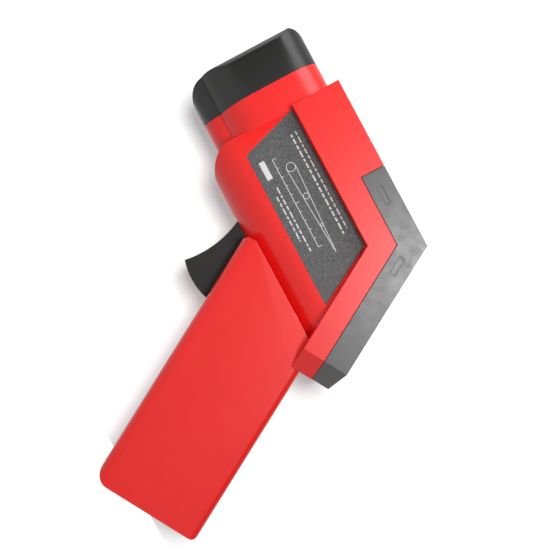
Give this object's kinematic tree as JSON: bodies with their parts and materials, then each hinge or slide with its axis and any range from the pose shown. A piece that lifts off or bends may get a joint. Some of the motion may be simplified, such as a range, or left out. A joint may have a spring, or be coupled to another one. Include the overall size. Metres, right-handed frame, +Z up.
{
  "type": "infrared thermometer",
  "caption": "Pistol-grip infrared thermometer with a two-lobed black nose, a raised chevron display housing, a hinged trigger and a hinged battery door.",
  "frame": {"origin": "under the middle of the instrument, at the height of its lowest point, held upright with the barrel level", "axes": "+Y from the nose towards the back of the grip, so the nose points to -Y; +Z up; +X to the user's left, the side that shows here"},
  "size_m": [0.04, 0.125, 0.1213],
  "materials": {
    "shell_red": "fine satin moulded ABS",
    "door_red": "fine satin moulded ABS",
    "cap_black": "satin moulded ABS",
    "frame_black": "semi-gloss moulded ABS",
    "trigger_black": "satin moulded ABS",
    "key_grey": "matt silicone rubber",
    "window_clear": "polished acrylic",
    "lcd_grey": "polarised glass",
    "light_white": "milky diffuser",
    "strip_pink": "elastomer",
    "board_green": "solder mask",
    "chip_black": "epoxy",
    "steel_bright": "zinc plated",
    "contact_brass": "nickel-brass strip",
    "laser_brass": "turned brass",
    "cell_steel": "plain sleeved AAA cell",
    "tray_black": "moulded ABS",
    "lens_white": "milky infrared polyethylene",
    "laser_red_window": "tinted acrylic",
    "wire_skin": "PVC insulated wire",
    "label_grey": "speckled printed polycarbonate film"
  },
  "bodies": {
    "housing": {"left_shell": "shell_red", "right_shell": "shell_red", "nose_cap": "cap_black", "display_frame": "frame_black", "display_window": "window_clear", "lcd_glass": "lcd_grey", "light_box": "light_white", "contact_strips": "strip_pink", "main_board": "board_green", "board_parts": "chip_black", "key_switches": "chip_black", "buzzer": "chip_black", "trigger_pin": "steel_bright", "trigger_spring": "steel_bright", "trigger_switch": "chip_black", "door_pin": "steel_bright", "battery_tray": "tray_black", "cell_left": "cell_steel", "cell_right": "cell_steel", "cell_springs": "steel_bright", "cell_plates": "contact_brass", "lens_tube": "tray_black", "ir_lens": "lens_white", "lens_ring": "cap_black", "thermopile": "steel_bright", "sensor_board": "board_green", "laser_module": "laser_brass", "laser_window": "laser_red_window", "laser_clamp": "tray_black", "sensor_wires": "wire_skin", "laser_wires": "wire_skin", "battery_wires": "wire_skin", "left_label": "label_grey", "right_label": "label_grey", "shell_screws": "steel_bright", "board_screws": "steel_bright"},
    "trigger": {"trigger": "trigger_black"},
    "door": {"battery_door": "door_red"},
    "key_left": {"button_left": "key_grey"},
    "key_centre": {"button_centre": "key_grey"},
    "key_right": {"button_right": "key_grey"}
  },
  "joints": [
    {"name": "trigger_pull", "type": "hinge", "parent": "housing", "child": "trigger", "pos_m": [0, -0.00853, 0.07433], "axis": [1, 0, 0], "range_deg": [0, 8], "stiffness_Nm_per_rad": 0.25, "springref_deg": -6.88, "deforming": ["trigger_spring"]},
    {"name": "door_swing", "type": "hinge", "parent": "housing", "child": "door", "pos_m": [0, 0.02981, 0.00472], "axis": [1, 0, 0], "range_deg": [0, 90]},
    {"name": "press_left", "type": "slide", "parent": "housing", "child": "key_left", "axis": [0, -0.866, -0.5], "range_m": [0, 0.0005], "stiffness_N_per_m": 1500, "springref_m": -0.0003},
    {"name": "press_centre", "type": "slide", "parent": "housing", "child": "key_centre", "axis": [0, -0.866, -0.5], "range_m": [0, 0.0005], "stiffness_N_per_m": 1500, "springref_m": -0.0003},
    {"name": "press_right", "type": "slide", "parent": "housing", "child": "key_right", "axis": [0, -0.866, -0.5], "range_m": [0, 0.0005], "stiffness_N_per_m": 1500, "springref_m": -0.0003}
  ]
}
